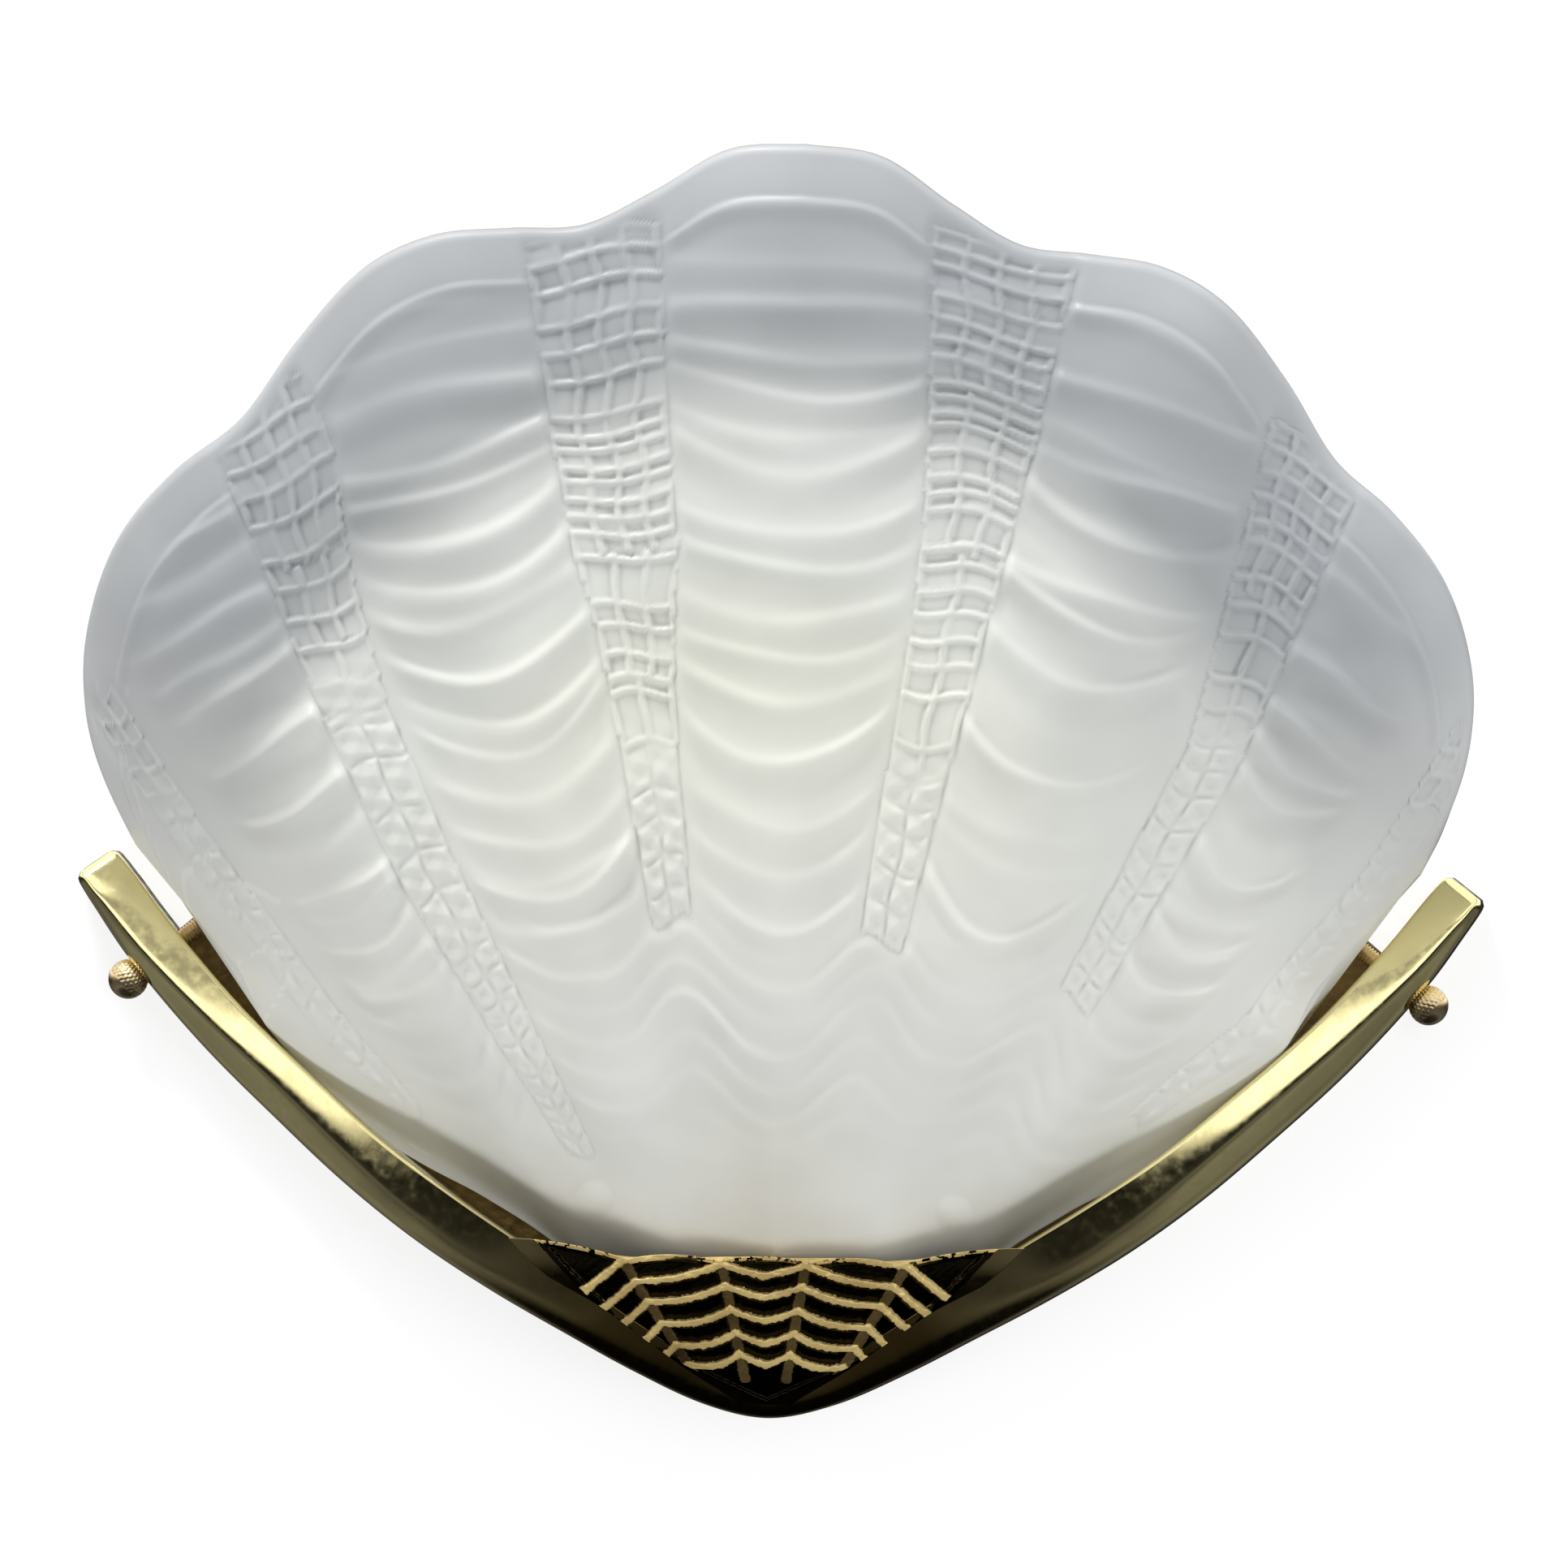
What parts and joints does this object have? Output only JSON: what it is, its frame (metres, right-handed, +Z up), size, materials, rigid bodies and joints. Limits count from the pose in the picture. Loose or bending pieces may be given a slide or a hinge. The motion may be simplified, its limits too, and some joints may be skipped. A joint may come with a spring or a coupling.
{
  "type": "shell wall sconce",
  "caption": "Wall sconce with a fluted frosted glass scallop shell, clamped in a cast brass bracket by ball-headed thumb screws.",
  "frame": {"origin": "midway between the two wall screw holes, on the back face of the wall strap", "axes": "+Z up, +Y into the wall, the shell faces -Y"},
  "size_m": [0.2963, 0.1152, 0.27],
  "materials": {
    "frosted_glass": "satin frosted, pressed",
    "polished_brass": "polished cast brass with rough cast recesses",
    "aged_brass": "aged, turned",
    "sheet_brass": "rolled sheet, lacquered",
    "zinc_steel": "zinc plated",
    "holder_plastic": "moulded thermoset",
    "block_plastic": "moulded",
    "black_rubber": "matt",
    "bulb_glass": "clear",
    "bulb_steel": "drawn wire",
    "black_glass": "fused glass insulator",
    "solder": "soft solder",
    "brown_sleeve": "extruded insulation",
    "blue_sleeve": "extruded insulation"
  },
  "bodies": {
    "bracket": {"bracket_casting": "polished_brass", "back_strap": "sheet_brass", "strap_screws": "aged_brass", "cable_grommet": "black_rubber", "lamp_bracket": "sheet_brass", "bracket_screw": "zinc_steel", "lamp_nipple": "zinc_steel", "nipple_washer": "zinc_steel", "nipple_nut": "zinc_steel", "lampholder_cap": "holder_plastic", "lampholder_body": "holder_plastic", "lampholder_sleeve": "sheet_brass", "lampholder_insulator": "holder_plastic", "lampholder_contact": "sheet_brass", "terminal_block": "block_plastic", "terminal_screws": "zinc_steel", "block_screw": "zinc_steel", "live_wire": "brown_sleeve", "neutral_wire": "blue_sleeve", "earth_screw": "zinc_steel", "earth_washer": "zinc_steel"},
    "shade": {"glass_shade": "frosted_glass"},
    "bulb_base": {"bulb_contact": "solder", "bulb_insulator": "black_glass"},
    "bulb": {"bulb_cap": "sheet_brass", "bulb_envelope": "bulb_glass", "bulb_stem": "bulb_glass", "bulb_leads": "bulb_steel", "bulb_filament": "bulb_steel"},
    "left_stud": {"left_stud": "aged_brass"},
    "left_knob": {"left_knob": "aged_brass"},
    "right_stud": {"right_stud": "aged_brass"},
    "right_knob": {"right_knob": "aged_brass"}
  },
  "joints": [
    {"name": "shade_lift", "type": "slide", "parent": "bracket", "child": "shade", "axis": [0, -0.5, 0.866], "range_m": [0, 0.03]},
    {"name": "bulb_rise", "type": "slide", "parent": "bracket", "child": "bulb_base", "axis": [0, 0, 1], "range_m": [0, 0.0141]},
    {"name": "bulb_turn", "type": "hinge", "parent": "bulb_base", "child": "bulb", "pos_m": [0, -0.038, 0], "axis": [0, 0, 1], "range_deg": [0, 1800]},
    {"name": "left_screw_travel", "type": "slide", "parent": "bracket", "child": "left_stud", "axis": [-0.788, 0, -0.6157], "range_m": [0, 0.007]},
    {"name": "left_knob_turn", "type": "hinge", "parent": "left_stud", "child": "left_knob", "pos_m": [-0.1313, -0.009, 0.0058], "axis": [-0.788, 0, -0.6157], "range_deg": [0, 3600]},
    {"name": "right_screw_travel", "type": "slide", "parent": "bracket", "child": "right_stud", "axis": [0.788, 0, -0.6157], "range_m": [0, 0.007]},
    {"name": "right_knob_turn", "type": "hinge", "parent": "right_stud", "child": "right_knob", "pos_m": [0.1313, -0.009, 0.0058], "axis": [0.788, 0, -0.6157], "range_deg": [0, 3600]}
  ],
  "couplings": [
    {"joint": "bulb_rise", "follows": "bulb_turn", "m_per_rad": 0.0004488},
    {"joint": "left_knob_turn", "follows": "left_screw_travel", "rad_per_m": 8975.9},
    {"joint": "right_knob_turn", "follows": "right_screw_travel", "rad_per_m": 8975.9}
  ]
}
